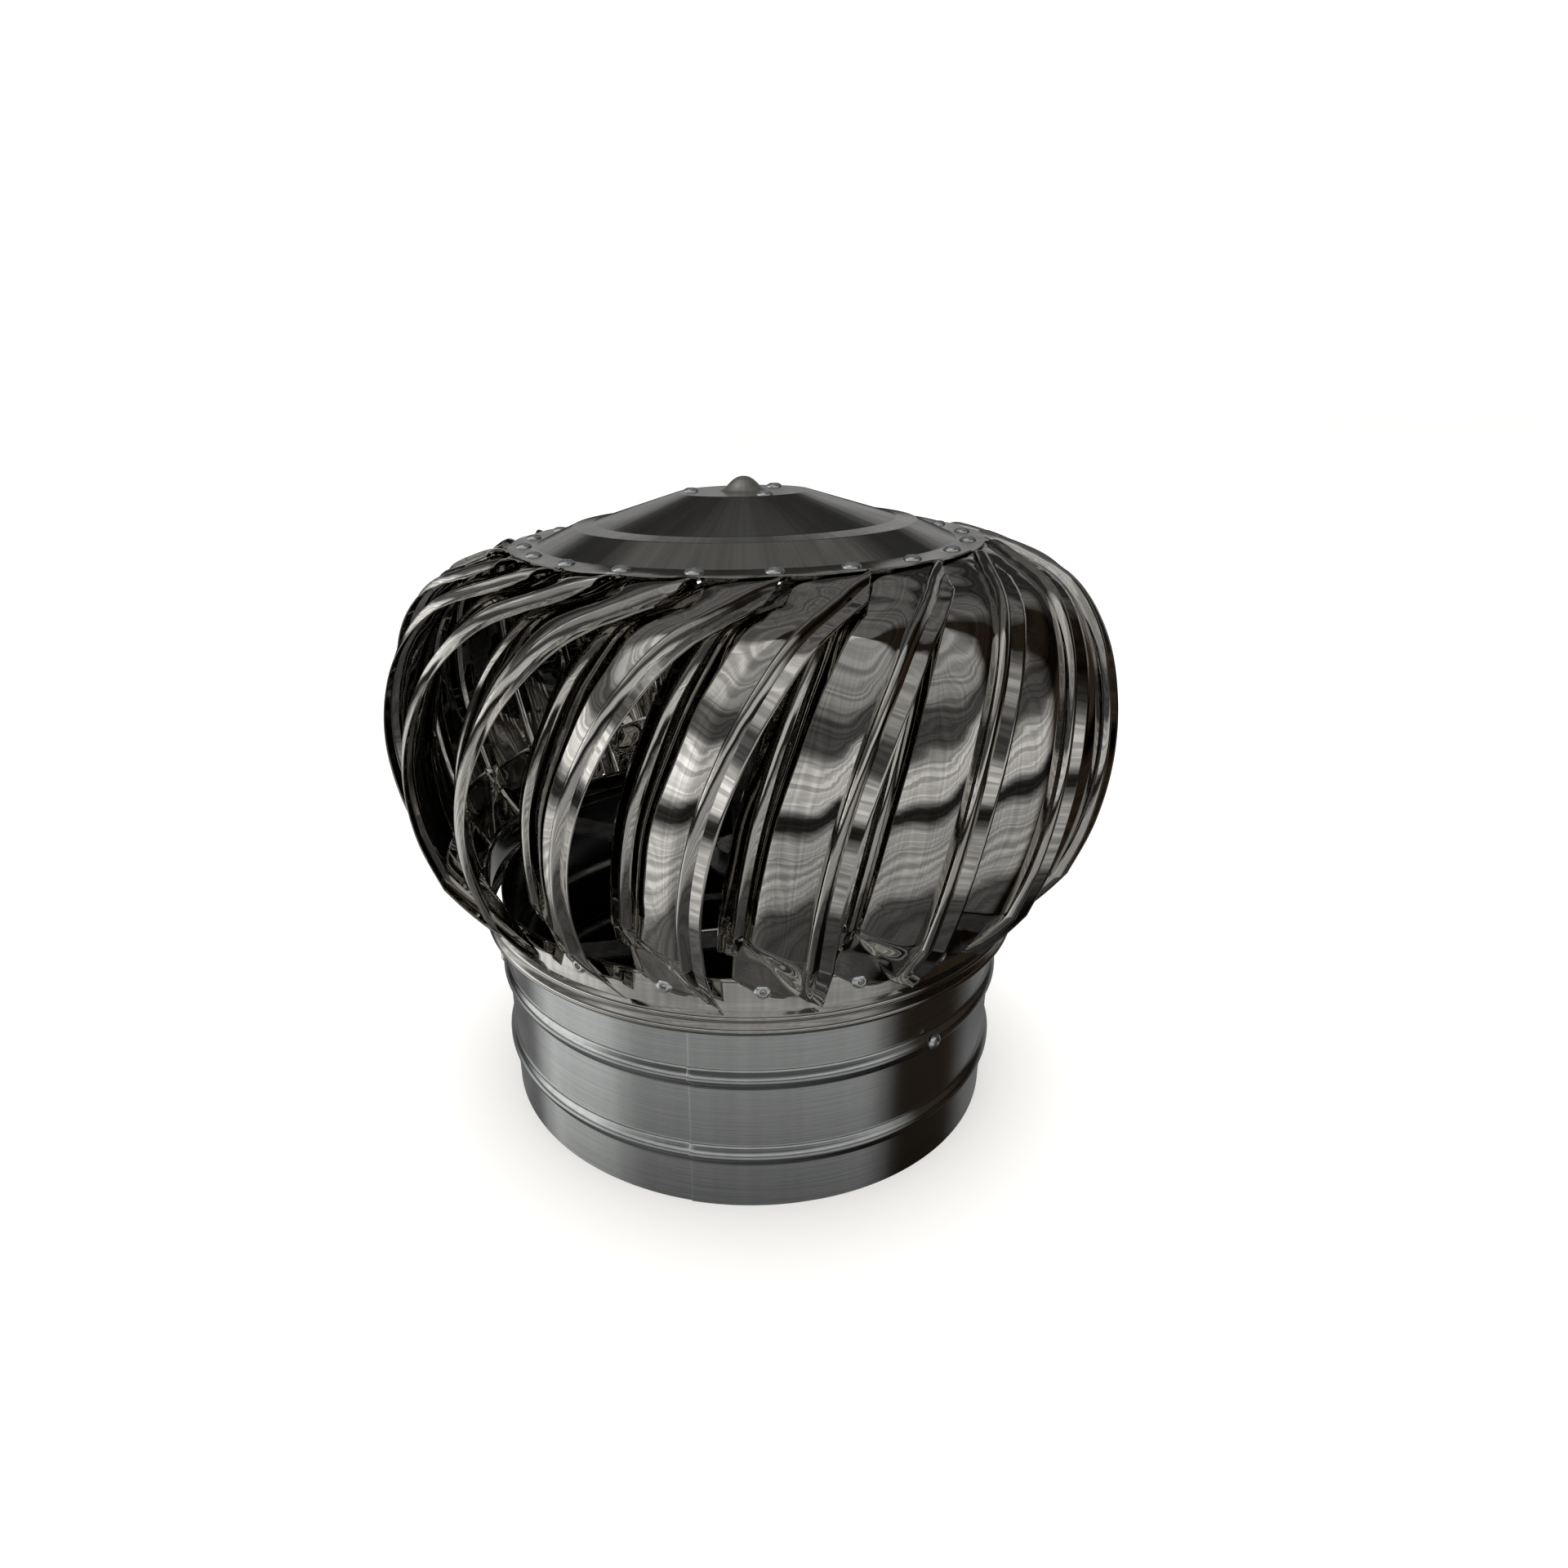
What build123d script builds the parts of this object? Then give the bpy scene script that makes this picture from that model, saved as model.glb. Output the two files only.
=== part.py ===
from build123d import *
import os
from math import atan2, cos, radians, sin

# Roof turbine ventilator, 300 mm throat, in millimetres.
# The origin is the centre of the throat's bottom edge. +Z is the axis that the turbine turns about.
# An azimuth is measured from the front, -Y, towards +X.

# ---- driving dimensions ----
VANE_COUNT = 21
PITCH = 360 / VANE_COUNT

NECK_R = 150.0            # outside of the plain tube
NECK_SHEET = 0.8
NECK_TOP = 131.0
NECK_BEAD_LOW = (27.6, 40.0)
NECK_BEAD_HIGH = (76.0, 88.0)
NECK_BEAD_RISE = 3.2
BEAD_FLANK = 0.3          # share of a bead's height taken by each sloping side

RING_R = 157.2            # outside of the turning ring's plain band
RING_SHEET = 0.8
RING_BOTTOM = 113.4
RING_BEAD_HEIGHT = 7.2
RING_BEAD_RISE = 2.8
RING_TOP = 146.0
HEM_RISE = 0.8            # how far the folded top edge stands out
HEM_HEIGHT = 2.4
RING_RIVET_Z = 140.0
RING_RIVET_AZIMUTH = 0.9

CAP_SHEET = 0.8
CAP_RIM_R = 127.0
CAP_RIM_Z = 328.0         # top face of the flat rim
CAP_RIM_INNER = 112.0
CAP_STEP_OUTER = (92.0, 336.8)
CAP_STEP_INNER = (81.2, 338.2)
CAP_DISC = (35.3, 352.0)
DOME_R = 12.4
DOME_RISE = 7.4
CAP_RIVET_R = 118.4
CAP_RIVET_AZIMUTH = 4.55
FLANGE_RIVET_R = 28.4
FLANGE_RIVET_AZIMUTH = 21.0

SHAFT_R = 6.0
SHAFT_SHOULDER_R = 8.0
SHAFT_BOTTOM = 62.0
SHAFT_TOP = 350.4
BEARING_INNER_R = 9.0     # outside of the inner race
BEARING_OUTER_R = 16.0
BEARING_WIDTH = 10.0
RACE_WALL = 2.6
SHIELD_GAP = 0.08         # running clearance between a shield and the inner race
SHIELD_SHEET = 0.8
CUP_SHEET = 1.2
CUP_FLANGE_R = 33.3
CUP_HEADROOM = 1.0        # room above the top nut
RETAINING_RING_R = 8.5

BRACKET_Z = 77.0          # underside of the throat bracket's arms
BRACKET_AZIMUTH = 38.4
ROTOR_BRACKET_Z = 131.0
ARM_WIDTH = 20.0
ARM_SHEET = 2.0
ARM_TAB = 14.0            # height of an arm's turned-up end
ARM_FIT = 0.05            # room left at the corners of an arm's end
ARM_ROOT = 1.5            # how far an arm reaches into its hub
HUB_R = 14.0
HUB_HEIGHT = 8.0
HUB_PLATE_R = 22.4        # centre plate of the turning bracket
HUB_PLATE_BORE_R = 11.0
NUT_FLATS = 18.0
NUT_HEIGHT = 8.0
THIN_NUT_HEIGHT = 5.5

RIVET_HEAD_R = 4.4
RIVET_HEAD_RISE = 1.7
RIVET_TAPER = 40          # slope of the head's side from upright, in degrees
RIVET_SIDES = 12

VANE_SHEET = 0.6
# Free edge of a vane from the cap down to the ring: radius, height, azimuth, and the angle at which
# the strip leans in behind the next vane.
VANE_LINE = [
    (134.0, 324.0, 26.5, 7.0),
    (153.0, 318.5, 17.0, 14.0),
    (174.0, 308.0, 8.0, 26.0),
    (190.5, 285.0, 1.2, 33.0),
    (199.5, 256.0, -3.4, 36.0),
    (202.0, 226.0, -6.1, 36.0),
    (198.0, 195.0, -7.4, 35.0),
    (188.0, 165.0, -7.4, 30.0),
]
VANE_TIP = (161.5, 130.0, -6.1)
RIM_CUT = (129.5, 325.0, 21.7)      # middle of the strip's end, just outside the cap's rim
RIM_CUT_PANEL = 29.0
RIM_CUT_LEAN = 7.0
RIM_CUT_EDGE = 0.5                  # what is left of each fold of the beads at the cut
# Section of the strip, from its free edge: distance across, and rise to the outside.
FLANGE = [(0.0, 0.0), (6.5, 0.4)]
OUTER_BEAD = [(10.0, 4.0)]
PANEL = [(13.5, 0.4), (28.0, 2.6), (42.5, 0.4)]
INNER_BEAD = [(45.5, 3.0)]
INNER_FLANGE = [(48.5, 0.2), (54.5, 0.0)]
TAB_WIDTH = 18.0
TAB_CROWN = 0.1           # slight crown across a tab
TAB_END = 133.0           # height of the lower tab's end
TAB_FOLD = 2.0            # height of each fold of the lower tab
TOP_TAB_REACH = (126.0, 110.0)      # radii between which the upper tab lies flat under the rim
TIP_NARROWING = 9         # how many times narrower the tip ends than it starts
TOP_TAB_AZIMUTH = 21.7    # the cap rivet that this vane hangs from
BOTTOM_TAB_AZIMUTH = RING_RIVET_AZIMUTH - PITCH

parts = {}


def polar(radius, azimuth, z):
    """Point at a radius and an azimuth."""
    return Vector(radius * sin(radians(azimuth)), -radius * cos(radians(azimuth)), z)


def turned(shape, azimuth):
    """The shape turned about the axis, from the front to an azimuth."""
    return shape.rotate(Axis.Z, azimuth)


def ring_of(shape, count, first):
    """Copies of a shape spaced evenly round the axis."""
    return Compound(children=[turned(shape, first + 360 / count * k) for k in range(count)])


def spun(outline):
    """Solid turned from a closed outline of radii and heights."""
    points = [(r, 0, z) for r, z in outline]
    return revolve(make_face(Polyline(*points, close=True)), Axis.Z)


def spun_sheet(outside, sheet, across=True):
    """Sheet turned from its outer line. Its inner line lies one thickness inward, or below."""
    shift = (sheet, 0) if across else (0, sheet)
    inside = [(max(r - shift[0], 0), z - shift[1]) for r, z in reversed(outside)]
    return spun(outside + inside)


def bead(radius, low, high, rise):
    """Points of one rolled bead on an upright wall, from the bottom up."""
    slope = (high - low) * BEAD_FLANK
    return [(radius, low), (radius + rise, low + slope), (radius + rise, high - slope), (radius, high)]


# ---- throat: fixed sheet tube with two rolled beads ----
def make_throat():
    line = [(NECK_R, 0)]
    line += bead(NECK_R, *NECK_BEAD_LOW, NECK_BEAD_RISE)
    line += bead(NECK_R, *NECK_BEAD_HIGH, NECK_BEAD_RISE)
    line += [(NECK_R, NECK_TOP)]
    return spun_sheet(line, NECK_SHEET)


# ---- turning ring: hemmed top edge, plain band, two beads at the skirt ----
def make_turbine_ring():
    middle = RING_BOTTOM + RING_BEAD_HEIGHT
    line = bead(RING_R, RING_BOTTOM, middle, RING_BEAD_RISE)
    line += bead(RING_R, middle, middle + RING_BEAD_HEIGHT, RING_BEAD_RISE)[1:]
    band = spun_sheet(line + [(RING_R, RING_TOP)], RING_SHEET)
    hem_low = RING_TOP - HEM_HEIGHT
    hem = spun([
        (RING_R, hem_low),
        (RING_R + HEM_RISE, hem_low + HEM_HEIGHT / 4),
        (RING_R + HEM_RISE, RING_TOP - HEM_HEIGHT / 4),
        (RING_R, RING_TOP),
    ])
    return band + hem


# ---- cap: one pressing with rim, two cones, a step, a flat disc and a dome ----
def make_cap():
    top = CAP_DISC[1] + DOME_RISE
    dome = [(DOME_R * cos(radians(a)), CAP_DISC[1] + DOME_RISE * sin(radians(a))) for a in (0, 30, 60)]
    line = [(CAP_RIM_R, CAP_RIM_Z), (CAP_RIM_INNER, CAP_RIM_Z), CAP_STEP_OUTER, CAP_STEP_INNER, CAP_DISC]
    return spun_sheet(line + dome + [(0, top)], CAP_SHEET, across=False)


# ---- shaft, bearings and their cups ----
def make_shaft(seat_low, seat_high):
    return spun([
        (0, SHAFT_BOTTOM), (SHAFT_R, SHAFT_BOTTOM), (SHAFT_R, seat_low), (SHAFT_SHOULDER_R, seat_low),
        (SHAFT_SHOULDER_R, seat_high), (SHAFT_R, seat_high), (SHAFT_R, SHAFT_TOP), (0, SHAFT_TOP),
    ])


def make_inner_race(z):
    return Pos(0, 0, z) * spun([
        (SHAFT_R, 0), (BEARING_INNER_R, 0), (BEARING_INNER_R, BEARING_WIDTH), (SHAFT_R, BEARING_WIDTH),
    ])


def make_outer_race(z):
    """Outer race with its two shields, which keep a running gap to the inner race."""
    wall = BEARING_OUTER_R - RACE_WALL
    lip = BEARING_INNER_R + SHIELD_GAP
    top = BEARING_WIDTH
    return Pos(0, 0, z) * spun([
        (BEARING_OUTER_R, 0), (BEARING_OUTER_R, top), (lip, top), (lip, top - SHIELD_SHEET),
        (wall, top - SHIELD_SHEET), (wall, SHIELD_SHEET), (lip, SHIELD_SHEET), (lip, 0),
    ])


def make_cap_cup(bearing_low, flange_top):
    """Flanged cup that hangs the upper bearing under the cap's disc."""
    outside = BEARING_OUTER_R + CUP_SHEET
    lip = BEARING_OUTER_R - CUP_SHEET
    floor = bearing_low - CUP_SHEET
    flange = flange_top - CUP_SHEET
    return spun([
        (lip, floor), (outside, floor), (outside, flange), (CUP_FLANGE_R, flange),
        (CUP_FLANGE_R, flange_top), (BEARING_OUTER_R, flange_top), (BEARING_OUTER_R, bearing_low),
        (lip, bearing_low),
    ])


def make_hub_cup(bearing_low):
    """Cup of the lower bearing, which stands on the rotor bracket's centre plate."""
    outside = BEARING_OUTER_R + CUP_SHEET
    lip = BEARING_OUTER_R - CUP_SHEET
    top = bearing_low + BEARING_WIDTH
    floor = bearing_low - CUP_SHEET
    return spun([
        (lip, floor), (outside, floor), (outside, top), (BEARING_OUTER_R, top),
        (BEARING_OUTER_R, bearing_low), (lip, bearing_low),
    ])


def make_nut(z, height):
    nut = extrude(RegularPolygon(NUT_FLATS / 2, 6, major_radius=False) - Circle(SHAFT_R), height)
    return Pos(0, 0, z) * nut


def make_retaining_ring(z):
    low = z - SHIELD_SHEET
    return spun([(SHAFT_R, low), (RETAINING_RING_R, low), (RETAINING_RING_R, z), (SHAFT_R, z)])


# ---- brackets: flat arms whose turned-up ends are riveted to a wall ----
def make_arms(wall_r, hub_r, z, first):
    """Three arms from a hub out to the inside of a wall."""
    length = wall_r - hub_r
    bar = Box(ARM_WIDTH, length, ARM_SHEET, align=(Align.CENTER, Align.MAX, Align.MIN))
    tab = Box(ARM_WIDTH, ARM_SHEET, ARM_TAB, align=(Align.CENTER, Align.MIN, Align.MIN))
    arm = Pos(0, -hub_r, z) * bar + Pos(0, -wall_r, z) * tab
    return [turned(arm, first + 120 * k) for k in range(3)]


def make_throat_bracket():
    wall = cos(atan2(ARM_WIDTH / 2, NECK_R)) * (NECK_R - NECK_SHEET) - ARM_FIT
    hub = Pos(0, 0, BRACKET_Z) * extrude(Circle(HUB_R) - Circle(SHAFT_R), HUB_HEIGHT)
    return hub + make_arms(wall, HUB_R - ARM_ROOT, BRACKET_Z, BRACKET_AZIMUTH)


def make_rotor_bracket():
    wall = cos(atan2(ARM_WIDTH / 2, RING_R)) * (RING_R - RING_SHEET) - ARM_FIT
    disc = extrude(Circle(HUB_PLATE_R) - Circle(HUB_PLATE_BORE_R), ARM_SHEET)
    arms = make_arms(wall, HUB_PLATE_R - ARM_ROOT, ROTOR_BRACKET_Z, RING_RIVET_AZIMUTH)
    return Pos(0, 0, ROTOR_BRACKET_Z) * disc + arms


# ---- rivets: low heads that bear on the sheet ----
def make_rivet():
    return extrude(RegularPolygon(RIVET_HEAD_R, RIVET_SIDES), RIVET_HEAD_RISE, taper=RIVET_TAPER)


def rivet_on_top(radius, azimuth, z):
    return Pos(polar(radius, azimuth, z)) * make_rivet()


def rivet_on_wall(radius, z):
    """Rivet at the front, with its head outwards on an upright wall."""
    return Pos(0, -radius, z) * Rot(90, 0, 0) * make_rivet()


# ---- vanes: a beaded strip, bent over the turbine's outline and twisted ----
def station(index):
    """Place of one cross-section: free-edge point, direction across the strip, outward direction."""
    radius, z, azimuth, lean = VANE_LINE[index]
    before = VANE_LINE[max(index - 1, 0)]
    after = VANE_LINE[min(index + 1, len(VANE_LINE) - 1)]
    along = (polar(after[0], after[2], after[1]) - polar(before[0], before[2], before[1])).normalized()
    rise = Vector(after[0] - before[0], 0, after[1] - before[1]).normalized()
    radial = polar(1, azimuth, 0)
    normal = radial * -rise.Z + Vector(0, 0, rise.X)
    side = normal.cross(along).normalized()
    normal = along.cross(side).normalized()
    across = side * -cos(radians(lean)) - normal * sin(radians(lean))
    outward = normal * cos(radians(lean)) - side * sin(radians(lean))
    return polar(radius, azimuth, z), across, outward


def strip_section(place, line):
    """Corners of the sheet's closed cross-section along a section line at a station."""
    origin, across, outward = place
    outer = [origin + across * u + outward * v for u, v in line]
    return outer + [point - outward * VANE_SHEET for point in reversed(outer)]


def plate(corners):
    """Flat face whose corners run clockwise seen from outside."""
    return Face(Wire(Polyline(*reversed(corners), close=True)))


def bent_walls(sections):
    """Skin of a sheet that is bent along straight folds from each cross-section to the next."""
    skin = []
    for near, far in zip(sections, sections[1:]):
        for k in range(len(near)):
            a, b, c, d = near[k - 1], near[k], far[k], far[k - 1]
            on_outside = k < len(near) / 2
            halves = ((a, b, c), (a, c, d)) if on_outside else ((a, b, d), (b, c, d))
            skin += [plate(half) for half in halves]
    return skin


def tab_section(centre, across, outward):
    """Flat three-point section of a tab."""
    line = [(-TAB_WIDTH / 2, 0), (0, TAB_CROWN), (TAB_WIDTH / 2, 0)]
    return strip_section((centre, across, outward), line)


def rim_cut():
    """Place and section line of the strip where it is cut along the cap's rim."""
    radius, z, azimuth = RIM_CUT
    side = polar(1, azimuth - 90, 0)
    up = Vector(0, 0, 1)
    across = side * cos(radians(RIM_CUT_LEAN)) - up * sin(radians(RIM_CUT_LEAN))
    outward = up * cos(radians(RIM_CUT_LEAN)) + side * sin(radians(RIM_CUT_LEAN))
    half = RIM_CUT_PANEL / 2
    panel = [(-half, 0), (0, PANEL[1][1] / 2), (half, 0)]
    folds = [RIM_CUT_EDGE * k for k in (3, 2, 1)]
    line = [(-half - u, -u) for u in folds] + panel + [(half + u, -u) for u in reversed(folds)]
    return (polar(radius, azimuth, z), across, outward), line, panel


def make_vane():
    section = FLANGE + OUTER_BEAD + PANEL + INNER_BEAD + INNER_FLANGE
    before_panel = FLANGE + OUTER_BEAD + PANEL[:1]
    after_panel = PANEL[-1:] + INNER_BEAD + INNER_FLANGE
    cut_place, cut_line, cut_panel = rim_cut()
    foot = station(len(VANE_LINE) - 1)
    strips = [strip_section(cut_place, cut_line)]
    strips += [strip_section(station(k), section) for k in range(1, len(VANE_LINE))]
    skin = bent_walls(strips)
    skin.append(plate(strip_section(cut_place, cut_line[: len(before_panel)])))
    skin.append(plate(strip_section(cut_place, cut_line[-len(after_panel):])))
    skin.append(plate(strip_section(foot, after_panel)))

    # Top tab: the panel alone goes on under the cap's rim.
    out = polar(1, TOP_TAB_AZIMUTH, 0)
    side = polar(1, TOP_TAB_AZIMUTH - 90, 0)
    under_rim = Vector(0, 0, CAP_RIM_Z - CAP_SHEET - TAB_CROWN)
    tab = [strip_section(cut_place, cut_panel)]
    for radius in TOP_TAB_REACH:
        tab.append(tab_section(out * radius + under_rim, side, Vector(0, 0, 1)))
    skin += bent_walls(tab) + [plate(tab[-1])]

    # Bottom tab: the panel is folded out over the hem and lies on the ring's band.
    out = polar(1, BOTTOM_TAB_AZIMUTH, 0)
    side = polar(1, BOTTOM_TAB_AZIMUTH - 90, 0)
    over_hem = RING_R + HEM_RISE + VANE_SHEET
    tab = [strip_section(foot, PANEL)]
    folds = ((over_hem, RING_TOP + TAB_FOLD), (over_hem, TAB_END + TAB_FOLD), (RING_R + VANE_SHEET, TAB_END))
    for radius, z in folds:
        tab.append(tab_section(out * radius + Vector(0, 0, z), side, out))
    skin += bent_walls(tab) + [plate(tab[-1])]

    # Tip: flange and bead run on and narrow to a point outside the ring's beads.
    out = polar(1, VANE_TIP[2], 0)
    side = polar(1, VANE_TIP[2] - 90, 0)
    point = [(u / TIP_NARROWING, v / TIP_NARROWING) for u, v in before_panel]
    tip_place = (out * VANE_TIP[0] + Vector(0, 0, VANE_TIP[1]), side, out)
    tip = [strip_section(foot, before_panel), strip_section(tip_place, point)]
    skin += bent_walls(tip) + [plate(tip[-1])]
    return Solid(Shell(skin))


upper_bearing_z = CAP_DISC[1] - CAP_SHEET - BEARING_WIDTH - THIN_NUT_HEIGHT - CUP_HEADROOM
lower_bearing_z = ROTOR_BRACKET_Z + ARM_SHEET + CUP_SHEET

# Fixed body: throat, bracket, shaft and inner races.
parts["throat_neck"] = make_throat()
throat_rivet = rivet_on_wall(NECK_R + NECK_BEAD_RISE, sum(NECK_BEAD_HIGH) / 2)
parts["throat_rivets"] = ring_of(throat_rivet, 3, BRACKET_AZIMUTH)
parts["throat_bracket"] = make_throat_bracket()
parts["centre_shaft"] = make_shaft(lower_bearing_z + BEARING_WIDTH, upper_bearing_z)
parts["shaft_lock_nut_lower"] = make_nut(BRACKET_Z - NUT_HEIGHT, NUT_HEIGHT)
parts["shaft_lock_nut_upper"] = make_nut(BRACKET_Z + HUB_HEIGHT, NUT_HEIGHT)
parts["shaft_top_nut"] = make_nut(upper_bearing_z + BEARING_WIDTH, THIN_NUT_HEIGHT)
parts["shaft_retaining_ring"] = make_retaining_ring(lower_bearing_z)
parts["upper_bearing_inner_race"] = make_inner_race(upper_bearing_z)
parts["lower_bearing_inner_race"] = make_inner_race(lower_bearing_z)

# Turning body: ring, cap, bearings' outer races, cups, bracket and vanes.
parts["turbine_ring"] = make_turbine_ring()
parts["top_cap"] = make_cap()
parts["cap_rim_rivets"] = ring_of(rivet_on_top(CAP_RIVET_R, 0, CAP_RIM_Z), VANE_COUNT, CAP_RIVET_AZIMUTH)
parts["upper_bearing_cup"] = make_cap_cup(upper_bearing_z, CAP_DISC[1] - CAP_SHEET)
parts["bearing_cup_rivets"] = ring_of(rivet_on_top(FLANGE_RIVET_R, 0, CAP_DISC[1]), 3, FLANGE_RIVET_AZIMUTH)
parts["upper_bearing_outer_race"] = make_outer_race(upper_bearing_z)
parts["lower_bearing_outer_race"] = make_outer_race(lower_bearing_z)
parts["lower_bearing_cup"] = make_hub_cup(lower_bearing_z)
parts["rotor_bracket"] = make_rotor_bracket()
parts["ring_rivets"] = ring_of(
    rivet_on_wall(RING_R + HEM_RISE + VANE_SHEET + TAB_CROWN, RING_RIVET_Z), VANE_COUNT, RING_RIVET_AZIMUTH
)
vane = make_vane()
for number in range(VANE_COUNT):
    parts[f"vane_{number + 1:02d}"] = turned(vane, number * PITCH)

os.makedirs("parts", exist_ok=True)
for name, shape in parts.items():
    export_step(shape, f"parts/{name}.step")
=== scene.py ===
import functools
import math

import bmesh
import bpy
from mathutils import Matrix, Vector, noise


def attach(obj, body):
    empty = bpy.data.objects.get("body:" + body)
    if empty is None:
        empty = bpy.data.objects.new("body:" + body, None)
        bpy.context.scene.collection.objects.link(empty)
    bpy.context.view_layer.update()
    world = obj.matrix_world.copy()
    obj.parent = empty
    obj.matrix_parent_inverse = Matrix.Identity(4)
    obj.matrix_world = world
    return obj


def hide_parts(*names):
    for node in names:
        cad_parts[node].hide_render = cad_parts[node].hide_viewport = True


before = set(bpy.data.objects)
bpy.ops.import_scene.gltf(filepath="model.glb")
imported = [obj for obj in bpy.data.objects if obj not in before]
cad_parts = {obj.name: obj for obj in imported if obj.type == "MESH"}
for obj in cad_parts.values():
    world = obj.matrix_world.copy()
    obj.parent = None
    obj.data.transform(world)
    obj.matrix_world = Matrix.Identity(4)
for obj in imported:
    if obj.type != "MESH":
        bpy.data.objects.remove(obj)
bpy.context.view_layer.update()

# ---- Studio ----
# The ventilator stands on a pale seamless floor under one soft box. Round it is an invented room,
# which polished sheet metal needs: it shows little but what it reflects.
CAMERA_PLACE = Vector((-0.0193, -0.5587, 0.3987))
CAMERA_PITCH = -0.4024
CAMERA_YAW = -0.0219
CAMERA_ROLL = -0.0279
CAMERA_LENS = 22.81
CAMERA_SHIFT = (0.0577, 0.0229)
FLOOR_HEX = "#F7F5F2"


def linear(code):
    """Linear RGBA of an sRGB hex colour."""
    channels = [int(code[k:k + 2], 16) / 255 for k in (1, 3, 5)]
    return tuple(c / 12.92 if c <= 0.04045 else ((c + 0.055) / 1.055) ** 2.4 for c in channels) + (1.0,)


def add(tree, kind, settings=None, links=None):
    """Adds one node with its settings and the sockets that feed it."""
    node = tree.nodes.new(kind)
    for name, value in (settings or {}).items():
        if name == "stops":
            ramp = node.color_ramp.elements
            while len(ramp) < len(value):
                ramp.new(0.5)
            for stop, (place, colour) in zip(ramp, value):
                stop.position = place
                stop.color = linear(colour)
        elif isinstance(name, int) or name in node.inputs:
            node.inputs[name].default_value = value
        else:
            setattr(node, name, value)
    for name, socket in (links or {}).items():
        tree.links.new(socket, node.inputs[name])
    return node


camera = bpy.data.objects.new("camera", bpy.data.cameras.new("camera"))
bpy.context.scene.collection.objects.link(camera)
forward = Vector((
    math.sin(CAMERA_YAW) * math.cos(CAMERA_PITCH),
    math.cos(CAMERA_YAW) * math.cos(CAMERA_PITCH),
    math.sin(CAMERA_PITCH),
))
right = forward.cross(Vector((0, 0, 1))).normalized()
up = right.cross(forward)
right, up = (
    right * math.cos(CAMERA_ROLL) + up * math.sin(CAMERA_ROLL),
    up * math.cos(CAMERA_ROLL) - right * math.sin(CAMERA_ROLL),
)
camera.matrix_world = Matrix.Translation(CAMERA_PLACE) @ Matrix((right, up, -forward)).transposed().to_4x4()
camera.data.sensor_width = 36
camera.data.lens = CAMERA_LENS
camera.data.shift_x, camera.data.shift_y = CAMERA_SHIFT
camera.data.clip_start = 0.01
bpy.context.scene.camera = camera
bpy.context.scene.view_settings.view_transform = "Standard"

# Matt white floor, painted. It stays out of the metal's reflections, where the invented room stands.
floor_paint = bpy.data.materials.new("matt_white_floor_paint")
floor_paint.use_nodes = True
tree = floor_paint.node_tree
grain = add(tree, "ShaderNodeTexNoise", {"Scale": 9.0, "Detail": 3.0})
tone = add(tree, "ShaderNodeValToRGB", {"stops": [(0.3, FLOOR_HEX), (0.7, "#FBFAF8")]},
           {"Fac": grain.outputs[0]})
tree.links.new(tone.outputs[0], tree.nodes["Principled BSDF"].inputs["Base Color"])
tree.nodes["Principled BSDF"].inputs["Roughness"].default_value = 0.9
bm = bmesh.new()
bmesh.ops.create_circle(bm, cap_ends=True, segments=96, radius=12.0)
floor_mesh = bpy.data.meshes.new("floor")
bm.to_mesh(floor_mesh)
bm.free()
floor = bpy.data.objects.new("floor", floor_mesh)
floor.data.materials.append(floor_paint)
floor.visible_glossy = False
bpy.context.scene.collection.objects.link(floor)

# Room: an invented workshop for the metal to reflect, with six levels from its floor to its ceiling.
# Its front wall is pale, a window fills its left side, its back wall is grey and a dark doorway takes
# up its right side. The lens itself sees a plain white backdrop.
world = bpy.data.worlds.new("room")
bpy.context.scene.world = world
world.use_nodes = True
tree = world.node_tree
tree.nodes.clear()
toward = add(tree, "ShaderNodeTexCoord")
wobble = add(tree, "ShaderNodeTexNoise", {"Scale": 5.0, "Detail": 1.0},
             {"Vector": toward.outputs["Generated"]})
wobble_centred = add(tree, "ShaderNodeVectorMath", {"operation": "SUBTRACT", 1: (0.5, 0.5, 0.5)},
                     {0: wobble.outputs["Color"]})
wobble_scaled = add(tree, "ShaderNodeVectorMath", {"operation": "SCALE", "Scale": 0.004},
                    {0: wobble_centred.outputs[0]})
bent = add(tree, "ShaderNodeVectorMath", {"operation": "ADD"},
           {0: toward.outputs["Generated"], 1: wobble_scaled.outputs[0]})
parts = add(tree, "ShaderNodeSeparateXYZ", links={0: bent.outputs[0]})
height = add(tree, "ShaderNodeMapRange", {"From Min": -1.0, "From Max": 1.0}, {"Value": parts.outputs["Z"]})
bearing = add(tree, "ShaderNodeMath", {"operation": "ARCTAN2"},
              {0: parts.outputs["X"], 1: parts.outputs["Y"]})
sector = add(tree, "ShaderNodeMapRange", {"From Min": -math.pi, "From Max": math.pi},
             {"Value": bearing.outputs[0]})

# Levels, from below: floor, low wall, benches, lit strip, high wall, ceiling.
levels = add(tree, "ShaderNodeValToRGB", {"stops": [
    (0.00, "#606060"), (0.15, "#606060"), (0.20, "#D0D0D0"), (0.40, "#D0D0D0"),
    (0.45, "#303030"), (0.50, "#303030"), (0.55, "#FFFFFF"), (0.65, "#FFFFFF"),
    (0.70, "#606060"), (0.80, "#606060"), (0.85, "#C0C0C0"), (1.00, "#C0C0C0"),
]}, {"Fac": height.outputs[0]})

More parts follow.
